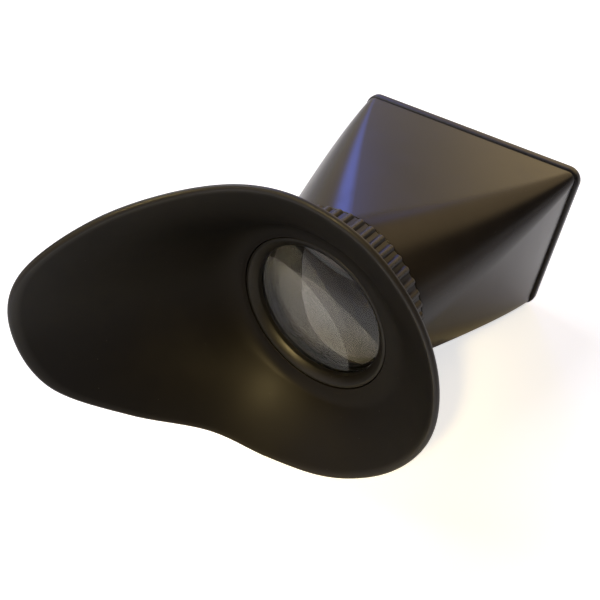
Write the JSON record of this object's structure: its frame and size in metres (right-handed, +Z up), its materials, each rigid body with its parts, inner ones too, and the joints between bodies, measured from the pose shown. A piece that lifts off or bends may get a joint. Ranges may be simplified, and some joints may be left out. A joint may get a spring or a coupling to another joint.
{
  "type": "screen viewfinder magnifier",
  "caption": "Hand-held magnifier that seats magnetically on a camera's screen: tapering hood, focusing eyepiece with two lenses, and a soft winged eyecup that turns.",
  "frame": {"origin": "centre of the base of the bounding box, on the table that the viewfinder lies on", "axes": "+Z up; +X across the screen frame's width, away from the eyecup's wing; +Y roughly along the optical axis from the eyecup to the screen frame, which tips up by about 12.5 degrees towards the eye"},
  "size_m": [0.0984, 0.1414, 0.093],
  "materials": {
    "frame_plastic": "black moulded plastic, semi-gloss",
    "hood_plastic": "black moulded plastic, fairly glossy",
    "ring_plastic": "black moulded plastic, satin, ribbed",
    "barrel_plastic": "black, matte against stray light",
    "trim_plastic": "black, polished",
    "eyecup_rubber": "soft matte rubber with a faint sheen",
    "seal_rubber": "dense matte foam rubber",
    "lens_glass": "polished clear glass",
    "magnet": "nickel plated",
    "steel": "plain steel"
  },
  "bodies": {
    "hood": {"hood_shell": "hood_plastic", "screen_frame": "frame_plastic", "face_gasket": "seal_rubber", "ring_retainer": "steel", "barrel_seal": "seal_rubber", "magnet_1": "magnet", "magnet_2": "magnet", "magnet_3": "magnet", "magnet_4": "magnet", "magnet_5": "magnet", "magnet_6": "magnet", "magnet_7": "magnet", "magnet_8": "magnet", "frame_screw_1": "steel", "frame_screw_2": "steel", "frame_screw_3": "steel", "frame_screw_4": "steel"},
    "focus_ring": {"focus_ring": "ring_plastic"},
    "eyepiece": {"lens_barrel": "barrel_plastic", "front_lens": "lens_glass", "lens_spacer": "barrel_plastic", "rear_lens": "lens_glass", "rear_lens_ring": "barrel_plastic", "eye_ring": "trim_plastic", "wave_washer": "steel", "guide_pin_1": "steel", "guide_pin_2": "steel", "guide_pin_3": "steel"},
    "eyecup": {"eyecup": "eyecup_rubber", "eyecup_collar": "barrel_plastic"}
  },
  "joints": [
    {"name": "barrel_slide", "type": "slide", "parent": "hood", "child": "eyepiece", "axis": [0, -0.9768, 0.214], "range_m": [-0.0015, 0.0015]},
    {"name": "focus_turn", "type": "hinge", "parent": "hood", "child": "focus_ring", "pos_m": [0.00439, -0.00338, 0.04085], "axis": [0, -0.9768, 0.214], "range_deg": [-50, 50]},
    {"name": "eyecup_turn", "type": "hinge", "parent": "eyepiece", "child": "eyecup", "pos_m": [0.00439, -0.00983, 0.04226], "axis": [0, -0.9768, 0.214], "continuous": true}
  ],
  "couplings": [
    {"joint": "focus_turn", "follows": "barrel_slide", "rad_per_m": 581.77}
  ]
}
